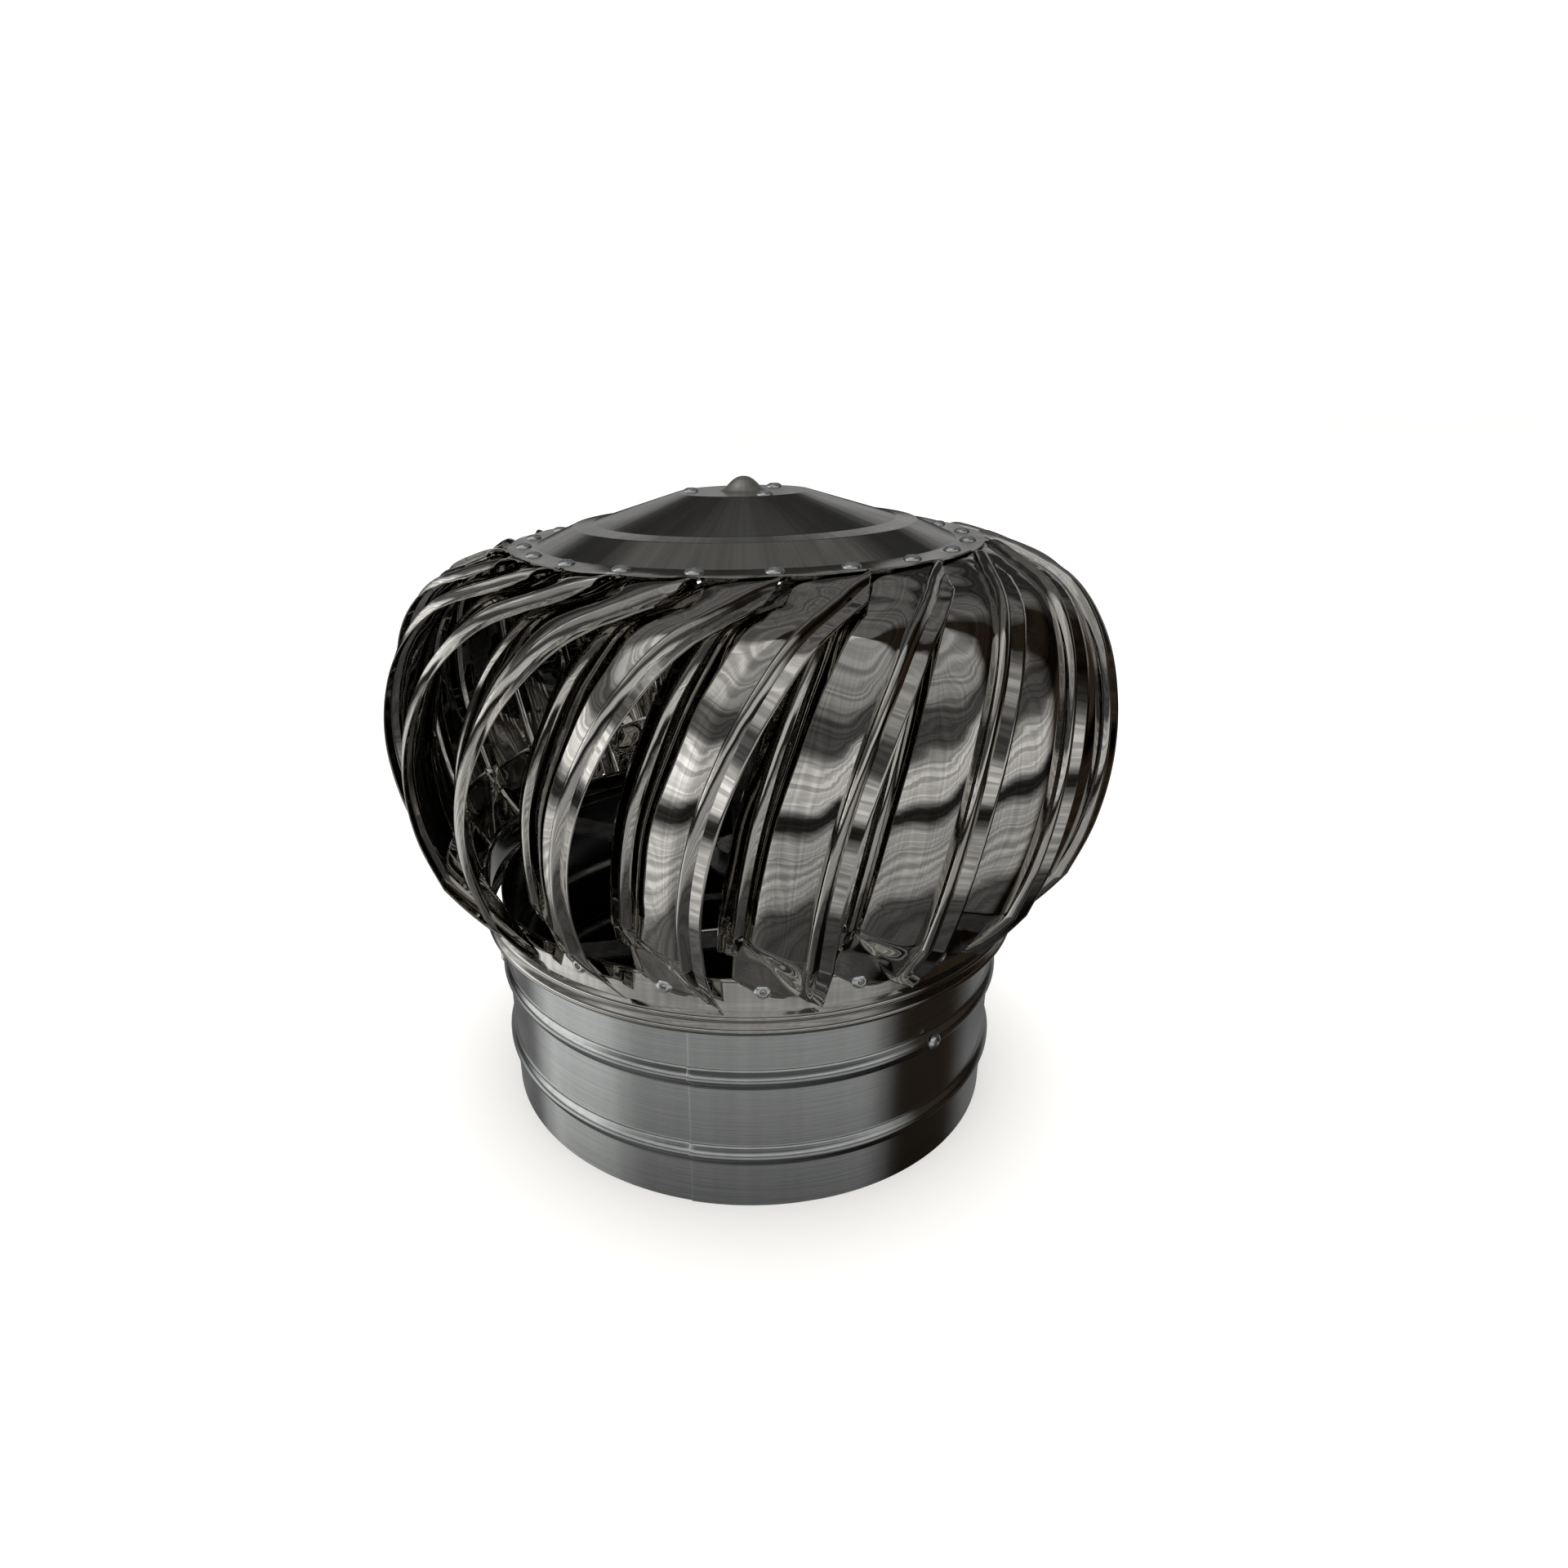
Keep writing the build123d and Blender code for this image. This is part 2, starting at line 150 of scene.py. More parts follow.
# Sides, from the front by way of the left: pale wall, window, grey wall, doorway, pale wall again.
sides = add(tree, "ShaderNodeValToRGB", {"stops": [
    (0.00, "#C0C0C0"), (0.15, "#C0C0C0"), (0.20, "#FFFFFF"), (0.30, "#FFFFFF"), (0.35, "#808080"),
    (0.65, "#808080"), (0.70, "#302820"), (0.80, "#302820"), (0.85, "#C0C0C0"), (1.00, "#C0C0C0"),
]}, {"Fac": sector.outputs[0]})

# Shelves and posts: faint lines of noise, level ones by height and upright ones by side.
shelf_lines = add(tree, "ShaderNodeTexNoise", {"noise_dimensions": "1D", "Scale": 55.0, "Detail": 2.0},
                  {"W": height.outputs[0]})
shelves = add(tree, "ShaderNodeValToRGB",
              {"stops": [(0.35, "#C0C0C0"), (0.50, "#E0E0E0"), (0.65, "#FFFFFF")]},
              {"Fac": shelf_lines.outputs[0]})
shelved = add(tree, "ShaderNodeMix", {"data_type": "RGBA", "blend_type": "MULTIPLY", 0: 1.0},
              {6: levels.outputs[0], 7: shelves.outputs[0]})
post_lines = add(tree, "ShaderNodeTexNoise", {"noise_dimensions": "1D", "Scale": 130.0, "Detail": 2.0},
                 {"W": sector.outputs[0]})
posts = add(tree, "ShaderNodeValToRGB",
            {"stops": [(0.35, "#E0E0E0"), (0.50, "#F0F0F0"), (0.65, "#FFFFFF")]},
            {"Fac": post_lines.outputs[0]})
posted = add(tree, "ShaderNodeMix", {"data_type": "RGBA", "blend_type": "MULTIPLY", 0: 1.0},
             {6: shelved.outputs[2], 7: posts.outputs[0]})
room = add(tree, "ShaderNodeMix", {"data_type": "RGBA", "blend_type": "MULTIPLY", 0: 1.0},
           {6: posted.outputs[2], 7: sides.outputs[0]})
room_light = add(tree, "ShaderNodeBackground", {"Strength": 2.0}, {"Color": room.outputs[2]})
backdrop = add(tree, "ShaderNodeBackground", {"Color": linear("#FFFFFF"), "Strength": 1.15})
seen = add(tree, "ShaderNodeLightPath")
mixed = add(tree, "ShaderNodeMixShader", links={
    0: seen.outputs["Is Glossy Ray"], 1: backdrop.outputs[0], 2: room_light.outputs[0],
})
add(tree, "ShaderNodeOutputWorld", links={"Surface": mixed.outputs[0]})

# Soft box overhead, for the floor. The metal doesn't see it.
lamp = bpy.data.lights.new("ceiling", "AREA")
lamp.shape = "RECTANGLE"
lamp.size, lamp.size_y = 5.0, 5.0
lamp.energy = 90
ceiling = bpy.data.objects.new("ceiling", lamp)
ceiling.location = (0, 0, 3.0)
ceiling.visible_glossy = False
bpy.context.scene.collection.objects.link(ceiling)

# Painted shade: a matt black disc on the floor inside the neck, out of the lens's sight, which keeps its
# inside dark where shade would fall.
painted_shade = bpy.data.materials.new("black_painted_shade")
painted_shade.use_nodes = True
tree = painted_shade.node_tree
shade_grain = add(tree, "ShaderNodeTexNoise", {"Scale": 400.0})
# Near-black tones of the painted shade, with a faint random grain.
tone = add(tree, "ShaderNodeValToRGB", {"stops": [(0.3, "#08090D"), (0.7, "#12141A")]},
           {"Fac": shade_grain.outputs[0]})
tree.links.new(tone.outputs[0], tree.nodes["Principled BSDF"].inputs["Base Color"])
tree.nodes["Principled BSDF"].inputs["Roughness"].default_value = 1.0
bm = bmesh.new()
bmesh.ops.create_circle(bm, cap_ends=True, segments=64, radius=0.148,
                          matrix=Matrix.Translation((0, 0, 0.001)))
painted_shade_mesh = bpy.data.meshes.new("painted_shade")
bm.to_mesh(painted_shade_mesh)
bm.free()
painted_shade_disc = bpy.data.objects.new("painted_shade", painted_shade_mesh)
painted_shade_disc.data.materials.append(painted_shade)
bpy.context.scene.collection.objects.link(painted_shade_disc)

# ---- Neck: the fixed tube ----
# Satin stainless sheet, 0.8 mm thick, rolled to a 300 mm tube with two swaged beads that stiffen it.
# It is brushed round the tube, so that what it reflects is drawn out up and down.
NECK_R = 150.0
NECK_TOP = 131.0
NECK_BEADS = ((27.6, 40.0), (76.0, 88.0))
NECK_BEAD_RISE = 3.2
ROUND_STEPS = 240
LAP_AZIMUTH = -13.2
LAP_RISE = 0.5
LAP_FADE = 24.0


def at(radius, azimuth, height):
    """Point at an azimuth from the front, in millimetres."""
    turn = math.radians(azimuth)
    return Vector((radius * math.sin(turn), -radius * math.cos(turn), height))


def bead_line(radius, low, high, rise, count=9):
    """Rounded line of one rolled bead, from the bottom up."""
    return [
        (radius + rise * math.sin(math.pi * k / count) ** 1.3, low + (high - low) * k / count)
        for k in range(1, count)
    ]


def turn_sheet(line, sheet, steps=ROUND_STEPS):
    """Sheet of one thickness, turned from its outer line and given its wall on the inside."""
    bm = bmesh.new()
    corners = [bm.verts.new((0, -radius, height)) for radius, height in line]
    rim = [bm.edges.new(pair) for pair in zip(corners, corners[1:])]
    bmesh.ops.spin(bm, geom=corners + rim, cent=(0, 0, 0), axis=(0, 0, 1), angle=math.tau,
                   steps=steps, use_merge=True)
    bmesh.ops.remove_doubles(bm, verts=bm.verts, dist=0.001)
    bmesh.ops.recalc_face_normals(bm, faces=bm.faces)
    outward = sum(f.normal.dot(f.calc_center_median() - Vector((0, 0, line[0][1]))) * f.calc_area()
                  for f in bm.faces)
    if outward < 0:
        bmesh.ops.reverse_faces(bm, faces=bm.faces)
    bmesh.ops.solidify(bm, geom=bm.faces[:], thickness=sheet)
    return bm


def held(line, hold=0.5):
    """The line with a point close to each end of every long run, which keeps that run straight."""
    tight = [line[0]]
    for (r1, z1), (r2, z2) in zip(line, line[1:]):
        run = math.hypot(r2 - r1, z2 - z1)
        if run > 4 * hold:
            step_r, step_z = (r2 - r1) / run * hold, (z2 - z1) / run * hold
            tight += [(r1 + step_r, z1 + step_z), (r2 - step_r, z2 - step_z)]
        tight.append((r2, z2))
    return tight


def fit(name, bm, finish, slot, body, *nodes, sharp=38, sheet=0):
    """Makes the finished piece from a mesh in millimetres, and gives a bare skin its sheet's wall."""
    bmesh.ops.scale(bm, vec=(0.001, 0.001, 0.001), verts=bm.verts)
    mesh = bpy.data.meshes.new(name)
    bm.to_mesh(mesh)
    bm.free()
    mesh.shade_smooth()
    mesh.set_sharp_from_angle(angle=math.radians(sharp))
    mesh.materials.append(finish)
    piece = bpy.data.objects.new(name, mesh)
    bpy.context.scene.collection.objects.link(piece)
    if sheet:
        wall = piece.modifiers.new("sheet", "SOLIDIFY")
        wall.thickness = sheet / 1000
        wall.offset = -1
    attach(piece, body)
    if nodes:
        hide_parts(*nodes)
    return piece


# Satin stainless steel: fine brushing round the tube, 0.3 mm apart, drawn coarser to show.
brushed_stainless = bpy.data.materials.new("brushed_stainless_steel")
brushed_stainless.use_nodes = True
tree = brushed_stainless.node_tree
shader = tree.nodes["Principled BSDF"]
shader.inputs["Metallic"].default_value = 1.0
shader.inputs["Anisotropic"].default_value = 0.7
shader.inputs["Anisotropic Rotation"].default_value = 0.25
place = add(tree, "ShaderNodeTexCoord")
fine = add(tree, "ShaderNodeMapping", {"Scale": (14.0, 14.0, 1800.0)}, {"Vector": place.outputs["Object"]})
strokes = add(tree, "ShaderNodeTexNoise", {"Scale": 1.0, "Detail": 4.0, "Roughness": 0.65},
              {"Vector": fine.outputs[0]})
broad = add(tree, "ShaderNodeMapping", {"Scale": (22.0, 22.0, 3.0)}, {"Vector": place.outputs["Object"]})
stains = add(tree, "ShaderNodeTexNoise", {"Scale": 1.0, "Detail": 3.0}, {"Vector": broad.outputs[0]})
tint = add(tree, "ShaderNodeValToRGB", {"stops": [(0.35, "#AEB2B1"), (0.65, "#C2C3C0")]},
           {"Fac": strokes.outputs[0]})
gloss = add(tree, "ShaderNodeMapRange", {"To Min": 0.12, "To Max": 0.17}, {"Value": strokes.outputs[0]})
ripple = add(tree, "ShaderNodeBump", {"Strength": 1.0, "Distance": 0.00002}, {"Height": strokes.outputs[0]})
ripple_broad = add(tree, "ShaderNodeBump", {"Strength": 1.0, "Distance": 0.0002},
                   {"Height": stains.outputs[0], "Normal": ripple.outputs[0]})
tree.links.new(tint.outputs[0], shader.inputs["Base Color"])
tree.links.new(gloss.outputs[0], shader.inputs["Roughness"])
tree.links.new(ripple_broad.outputs[0], shader.inputs["Normal"])

neck_line = [(NECK_R, 0), (NECK_R, 13)]
for low, high in NECK_BEADS:
    neck_line += [(NECK_R, low)] + bead_line(NECK_R, low, high, NECK_BEAD_RISE) + [(NECK_R, high)]
neck_line += [(NECK_R, 110), (NECK_R, NECK_TOP)]
bm = turn_sheet(held(neck_line), 0.8)
for azimuth in (LAP_AZIMUTH - 0.3, LAP_AZIMUTH):
    bmesh.ops.bisect_plane(bm, geom=bm.verts[:] + bm.edges[:] + bm.faces[:], plane_co=(0, 0, 0),
                           plane_no=at(1, azimuth + 90, 0))
for vert in bm.verts:
    past = math.degrees(math.atan2(vert.co.x, -vert.co.y)) - LAP_AZIMUTH
    if -0.05 < past < LAP_FADE:
        vert.co.xy *= 1 + LAP_RISE * (1 - past / LAP_FADE) / NECK_R
fit("neck_tube", bm, brushed_stainless, "neck_stainless", "base", "throat_neck")

# ---- Turning ring ----
# Mirror stainless sheet with a folded hem on top and two rolled beads at its skirt, which runs clear
# of the neck. The vanes' lower ends are riveted to its band.
RING_R = 157.2
RING_BOTTOM = 113.4
RING_BEAD_HEIGHT = 7.2
RING_BEAD_RISE = 2.8
RING_TOP = 146.0

# Mirror-polished stainless steel: sharp reflections, faint roll lines, wiping haze.
polished_stainless = bpy.data.materials.new("mirror_polished_stainless_steel")
polished_stainless.use_nodes = True
tree = polished_stainless.node_tree
shader = tree.nodes["Principled BSDF"]
shader.inputs["Metallic"].default_value = 1.0
place = add(tree, "ShaderNodeTexCoord")
haze = add(tree, "ShaderNodeTexNoise", {"Scale": 35.0, "Detail": 5.0}, {"Vector": place.outputs["Object"]})
tint = add(tree, "ShaderNodeValToRGB", {"stops": [(0.3, "#BDBBB6"), (0.7, "#CDCBC6")]},
           {"Fac": haze.outputs[0]})
gloss = add(tree, "ShaderNodeMapRange", {"To Min": 0.04, "To Max": 0.12}, {"Value": haze.outputs[0]})
rolled = add(tree, "ShaderNodeMapping", {"Scale": (30.0, 30.0, 260.0)}, {"Vector": place.outputs["Object"]})
lines = add(tree, "ShaderNodeTexNoise", {"Scale": 1.0, "Detail": 2.0}, {"Vector": rolled.outputs[0]})
ripple = add(tree, "ShaderNodeBump", {"Strength": 1.0, "Distance": 0.00003}, {"Height": lines.outputs[0]})
tree.links.new(tint.outputs[0], shader.inputs["Base Color"])
tree.links.new(gloss.outputs[0], shader.inputs["Roughness"])
tree.links.new(ripple.outputs[0], shader.inputs["Normal"])

ring_line = []
for low in (RING_BOTTOM, RING_BOTTOM + RING_BEAD_HEIGHT):
    ring_line += [(RING_R, low)] + bead_line(RING_R, low, low + RING_BEAD_HEIGHT, RING_BEAD_RISE)
ring_line += [(RING_R, RING_BOTTOM + 2 * RING_BEAD_HEIGHT), (RING_R, 136), (RING_R, 143.4),
              (RING_R + 0.6, 143.7), (RING_R + 0.8, 144.3), (RING_R + 0.8, 145.2), (RING_R + 0.5, 145.8),
              (RING_R + 0.1, RING_TOP)]
fit("turning_ring", turn_sheet(held(ring_line), 0.8), polished_stainless, "ring_stainless",
    "rotor", "turbine_ring")

# ---- Cap ----
# One pressing of 0.8 mm stainless sheet in its mill finish: flat rim, two cones with a step between
# them, a flat disc over the bearing and a small dome in the middle.
CAP_LINE = [(127, 328), (112, 328), (92, 336.8), (81.2, 338.2), (35.3, 352.0), (12.4, 352.0)]
CAP_RIVET_AZIMUTH = 4.55
VANE_COUNT = 21

# Mill-finish stainless steel: satin, with faint streaks from the centre outwards.
mill_stainless = bpy.data.materials.new("mill_finish_stainless_steel")
mill_stainless.use_nodes = True
tree = mill_stainless.node_tree
shader = tree.nodes["Principled BSDF"]
shader.inputs["Metallic"].default_value = 1.0
place = add(tree, "ShaderNodeTexCoord")
level = add(tree, "ShaderNodeVectorMath", {"operation": "MULTIPLY", 1: (1.0, 1.0, 0.0)},
            {0: place.outputs["Object"]})
outward = add(tree, "ShaderNodeVectorMath", {"operation": "NORMALIZE"}, {0: level.outputs[0]})
drawn = add(tree, "ShaderNodeVectorMath", {"operation": "MULTIPLY_ADD", 1: (12.0, 12.0, 12.0)},
            {0: outward.outputs[0], 2: place.outputs["Object"]})
streaks = add(tree, "ShaderNodeTexNoise", {"Scale": 1.6, "Detail": 6.0, "Roughness": 0.6},
              {"Vector": drawn.outputs[0]})
cloud = add(tree, "ShaderNodeTexNoise", {"Scale": 22.0, "Detail": 4.0}, {"Vector": place.outputs["Object"]})
tint = add(tree, "ShaderNodeValToRGB", {"stops": [(0.3, "#A9A7A1"), (0.7, "#C3C1BB")]},
           {"Fac": streaks.outputs[0]})
gloss = add(tree, "ShaderNodeMapRange", {"To Min": 0.08, "To Max": 0.15}, {"Value": cloud.outputs[0]})
from_axis = add(tree, "ShaderNodeVectorMath", {"operation": "LENGTH"}, {0: level.outputs[0]})
drawn_height = add(tree, "ShaderNodeMath", {"operation": "MULTIPLY"},
                   {0: streaks.outputs[0], 1: from_axis.outputs["Value"]})
ripple = add(tree, "ShaderNodeBump", {"Strength": 1.0, "Distance": 0.001},
             {"Height": drawn_height.outputs[0]})
# The small dome is drawn, which leaves it duller than the cones.
drawn_dull = add(tree, "ShaderNodeMapRange",
                 {"From Min": 0.0124, "From Max": 0.0130, "To Min": 0.30, "To Max": 0.0},
                 {"Value": from_axis.outputs["Value"]})
roughness = add(tree, "ShaderNodeMath", {"operation": "ADD"},
                {0: gloss.outputs[0], 1: drawn_dull.outputs[0]})
tree.links.new(tint.outputs[0], shader.inputs["Base Color"])
tree.links.new(roughness.outputs[0], shader.inputs["Roughness"])
tree.links.new(ripple.outputs[0], shader.inputs["Normal"])

dome_line = [(10.9, 352.9), (9.0, 354.4), (7.2, 356.2), (5.4, 357.7), (3.4, 358.8),
             (1.6, 359.3), (0.4, 359.4)]
bm = turn_sheet(held(CAP_LINE + dome_line), 0.8)
for vert in bm.verts:
    radius = math.hypot(vert.co.x, vert.co.y)
    azimuth = math.degrees(math.atan2(vert.co.x, -vert.co.y))
    if radius > 120:
        between = 0.5 - 0.5 * math.cos(math.radians(VANE_COUNT * (azimuth - CAP_RIVET_AZIMUTH)))
        vert.co.z -= 0.5 * between * (radius - 120) / 7
fit("cap", bm, mill_stainless, "cap_stainless", "rotor", "top_cap", sharp=50)

# ---- Vanes ----
# Twenty-one strips of 0.6 mm mirror stainless sheet. Each is roll-formed with a bead near both edges
# and crimped to the head's curve, then its lower end is folded flat and riveted to the ring.
VANE_LINE = [
    (134.0, 324.0, 26.5, 7.0),
    (152.0, 319.0, 17.6, 12.0),
    (174.0, 308.0, 8.0, 22.0),
    (190.5, 285.0, 1.2, 31.0),
    (199.5, 256.0, -3.4, 36.0),
    (202.0, 226.0, -6.1, 36.0),
    (198.0, 195.0, -7.4, 35.0),
    (188.0, 165.0, -7.4, 30.0),
]
VANE_FOOT = len(VANE_LINE) - 1
FOOT_CORNER_LIFT = 0.3
PANEL_COLUMNS = 26
FOLD_CELLS = 3
FOLD_BAND = FOLD_CELLS / PANEL_COLUMNS
FOLD_RISE = 0.3
STRIP_COLUMNS = (
    [0.0, 1.3, 2.6, 3.9, 5.2, 6.1]
    + [6.5 + 0.7 * k for k in range(10)]
    + [13.5 + 32.5 / PANEL_COLUMNS * k for k in range(PANEL_COLUMNS + 1)]
    + [46.75, 47.6, 48.5, 50.0, 51.5, 53.0, 54.5]
)
PANEL_EDGES = (13.5, 46.0)
ROWS_PER_STATION = 18
FOOT_ROWS = PANEL_COLUMNS


def strip_rise(across):
    """Height of the strip's section over its chord: flange, bead, crowned panel, bead, flange."""
    if across < 6.5:
        return 0.4 * across / 6.5
    if across < 13.5:
        return 0.4 + 3.6 * math.sin(math.pi * (across - 6.5) / 7) ** 0.85
    if across <= 42.5:
        return 0.4 + 2.2 * (1 - abs((across - 28) / 14.5) ** 3.2)
    if across < 48.5:
        return 0.4 + 2.6 * math.sin(math.pi * (across - 42.5) / 6) ** 0.85
    return 0.4 * (54.5 - across) / 6


def station(place):
    """Interpolated radius, height, azimuth and lean of the strip's free edge."""
    k = min(max(int(place), 1), VANE_FOOT - 1)
    t = place - k
    a, b, c = VANE_LINE[k - 1], VANE_LINE[k], VANE_LINE[k + 1]
    d = VANE_LINE[min(k + 2, VANE_FOOT)]
    return [
        q + 0.5 * t * (r - p + t * (2 * p - 5 * q + 4 * r - s + t * (3 * (q - r) + s - p)))
        for p, q, r, s in zip(a, b, c, d)
    ]


@functools.cache
def strip_frame(place):
    """Free-edge point, direction across the strip and outward direction at a station."""
    radius, height, azimuth, lean = station(place)
    before, after = station(max(place - 0.5, 1)), station(min(place + 0.5, VANE_FOOT))
    along = (at(after[0], after[2], after[1]) - at(before[0], before[2], before[1])).normalized()
    rise = Vector((after[0] - before[0], 0, after[1] - before[1])).normalized()
    normal = at(1, azimuth, 0) * -rise.z + Vector((0, 0, rise.x))
    side = normal.cross(along).normalized()
    normal = along.cross(side).normalized()
    turn = math.radians(lean)
    across = -side * math.cos(turn) - normal * math.sin(turn)
    outward = normal * math.cos(turn) - side * math.sin(turn)
    return at(radius, azimuth, height), across, outward, along


rim_side = at(1, -128.7, 0)
rim_turn = math.radians(5)
rim_across = rim_side * math.cos(rim_turn) - Vector((0, 0, math.sin(rim_turn)))
rim_outward = Vector((0, 0, math.cos(rim_turn))) + rim_side * math.sin(rim_turn)
rim_middle = at(112.8, 21.9, 325.2)
foot_point, foot_across, foot_outward, foot_along = strip_frame(VANE_FOOT)


@functools.cache
def strip_point(across, place):
    """Point of the strip's outer face between its cut at the rim and the last station."""
    rise = strip_rise(across)
    if place >= 1:
        point, sideways, outward, _ = strip_frame(place)
        return point + sideways * across + outward * rise
    start = strip_point(across, 1.0)
    pull = (start - strip_point(across, 1.2)) * 5
    end = rim_middle + rim_across * (across - 28) + rim_outward * rise * 0.55
    push = at(30, 141.5, 2)
    t = 1 - place
    return (
        start * (2 * t ** 3 - 3 * t ** 2 + 1) + pull * (t ** 3 - 2 * t ** 2 + t)
        + end * (3 * t ** 2 - 2 * t ** 3) + push * (t ** 3 - t ** 2)
    )


def foot_start(across):
    """Station where the lower end's folds begin: higher up at the inner edge than at the free edge."""
    return VANE_FOOT - FOOT_CORNER_LIFT * min(across / PANEL_EDGES[1], 1)


def foot_point_at(across, share):
    """Point of the lower end: bead and flange run out to a tip, the panel folds onto the ring."""
    start = strip_point(across, foot_start(across))
    if across < PANEL_EDGES[0]:
        part = across / PANEL_EDGES[0]
        end = at(161.5, -6.1, 130.0).lerp(at(158.9, -10.0, 135.5), part)
        end += at(1, -8.0, 0) * strip_rise(across) * 0.35 * math.sin(math.pi * part)
        bulge = foot_outward * 1.2 * math.sin(math.pi * share)
        return start.lerp(end, share) + bulge
    if across > PANEL_EDGES[1]:
        sunk = foot_outward * (strip_rise(across) - 0.4) * min(share * 6, 1)
        return start - sunk + foot_along * 36 * share
    w = (across - PANEL_EDGES[0]) / (PANEL_EDGES[1] - PANEL_EDGES[0])
    a = strip_point(PANEL_EDGES[0], foot_start(PANEL_EDGES[0]))
    b = strip_point(PANEL_EDGES[1], foot_start(PANEL_EDGES[1])) - foot_outward * 2.0
    c = at(158.9, -10.0, 135.5)
    d = at(158.9, -21.6, 147.0)
    if w + share <= 1:
        point = a + (b - a) * w + (c - a) * share
    else:
        point = d + (c - d) * (1 - w) + (b - d) * (1 - share)
    fade = max(1 - 2 * share, 0)
    point += (start - a.lerp(b, w)) * fade * fade * (3 - 2 * fade)
    ridge = max(1 - abs((1 - w - share) / FOLD_BAND - 1), 0)
    point += foot_outward * FOLD_RISE * ridge * math.sin(math.pi * share)
    point.z -= 4.2 * math.sin(math.pi * w) * max(share - 0.5, 0) * 2
    radius = math.hypot(point.x, point.y)
    if point.z < 149 and radius < 158.9:
        point.xy *= 158.9 / radius
    return point


def make_vane(number):
    """One vane as a bent grid: columns across the strip, rows down its length."""
    body_rows = VANE_FOOT * ROWS_PER_STATION
    columns, row_count = len(STRIP_COLUMNS) - 1, body_rows + FOOT_ROWS
    bm = bmesh.new()
    bmesh.ops.create_grid(bm, x_segments=columns, y_segments=row_count, size=1.0)
    uv = bm.loops.layers.uv.new("strip")
    seed = Vector((number * 7.3, number * 3.1, 0))
    grid = {}
    for vert in bm.verts:
        column = round((vert.co.x + 1) / 2 * columns)
        row = round((vert.co.y + 1) / 2 * row_count)
        grid[column, row] = vert
        vert.index = row * (columns + 1) + column
        across = STRIP_COLUMNS[column]
        if row > body_rows:
            vert.co = foot_point_at(across, (row - body_rows) / FOOT_ROWS)
            continue
        place = row / ROWS_PER_STATION
        if place > VANE_FOOT - 1:
            place = VANE_FOOT - 1 + (place - VANE_FOOT + 1) * (1 - VANE_FOOT + foot_start(across))
        vert.co = strip_point(across, place).copy()
        upper = max(0.0, min(1.0, (2.8 - place) / 1.8)) * min(1.0, 0.3 + place)
        loose = 1.0 if across < 6.5 else 0.6 if 13.5 < across < 18 or 39 < across else 0.06
        wave = noise.noise(Vector((across / 5.0, place * 6.0, 0)) + seed)
        vert.co += rim_outward * wave * 0.45 * upper * loose
        slow = noise.noise(Vector((across / 30.0, place * 1.4, 5)) + seed)
        vert.co += at(1, -10, 0) * (slow * 0.05 - 0.17) * min(place, VANE_FOOT - place, 1)
    gone = []
    for face in bm.faces:
        spots = [(v.index % (columns + 1), v.index // (columns + 1)) for v in face.verts]
        for loop, (column, row) in zip(face.loops, spots):
            loop[uv].uv = (STRIP_COLUMNS[column] / 100, row * 30 / ROWS_PER_STATION / 100)
        across = sum(STRIP_COLUMNS[column] for column, _ in spots) / 4
        row = sum(row for _, row in spots) / 4
        if across > PANEL_EDGES[1] and row > body_rows + FOOT_ROWS * 0.48:
            gone.append(face)
    bmesh.ops.delete(bm, geom=gone, context="FACES")
    first = STRIP_COLUMNS.index(PANEL_EDGES[0])
    for shift in (0, FOLD_CELLS, 2 * FOLD_CELLS):
        last = PANEL_COLUMNS - shift
        fold = [grid[first + last - k, body_rows + k] for k in range(last + 1)]
        for pair in zip(fold, fold[1:]):
            bmesh.ops.connect_verts(bm, verts=pair)
    corner = at(151.5, 17.9, 0)
    cut = at(125.0, 24.7, 0) - corner
    bmesh.ops.bisect_plane(bm, geom=bm.verts[:] + bm.edges[:] + bm.faces[:], plane_co=corner,
                           plane_no=Vector((cut.y, -cut.x, 0)).normalized(), clear_outer=True)
    inner = [face for face in bm.faces if face.calc_center_median().z > 300
             and face.loops[0][uv].uv.x > 0.31]
    edges = {edge for face in inner for edge in face.edges}
    verts = {vert for face in inner for vert in face.verts}
    bmesh.ops.bisect_plane(bm, geom=list(verts) + list(edges) + inner, plane_co=at(122.0, 8.0, 0),
                           plane_no=at(-1, 8.0, 0), clear_outer=True)
    bmesh.ops.recalc_face_normals(bm, faces=bm.faces)
    bm.normal_update()
    if sum(face.normal.dot(foot_outward) * face.calc_area() for face in bm.faces) < 0:
        bmesh.ops.reverse_faces(bm, faces=bm.faces)
    turn = Matrix.Rotation(math.radians(360 / VANE_COUNT * number), 3, "Z")
    bmesh.ops.rotate(bm, cent=(0, 0, 0), matrix=turn, verts=bm.verts)
    return bm


# Mirror-polished stainless strip: the crimping leaves fine waves across it, ripples at its beads and
# faint press marks about 11 mm apart.
polished_strip = bpy.data.materials.new("mirror_polished_stainless_strip")
polished_strip.use_nodes = True
tree = polished_strip.node_tree
shader = tree.nodes["Principled BSDF"]
shader.inputs["Metallic"].default_value = 1.0
place = add(tree, "ShaderNodeUVMap", {"uv_map": "strip"})
solid = add(tree, "ShaderNodeTexCoord")
crimps = add(tree, "ShaderNodeMapping", {"Scale": (4.0, 30.0, 1.0)}, {"Vector": place.outputs[0]})
waves = add(tree, "ShaderNodeTexNoise", {"Scale": 1.0, "Detail": 1.0, "Roughness": 0.5},
            {"Vector": crimps.outputs[0]})
haze = add(tree, "ShaderNodeTexNoise", {"Scale": 40.0, "Detail": 5.0}, {"Vector": solid.outputs["Object"]})
tint = add(tree, "ShaderNodeValToRGB", {"stops": [(0.3, "#B7B4AF"), (0.7, "#C9C6C0")]},
           {"Fac": haze.outputs[0]})
gloss = add(tree, "ShaderNodeMapRange", {"To Min": 0.015, "To Max": 0.05}, {"Value": haze.outputs[0]})
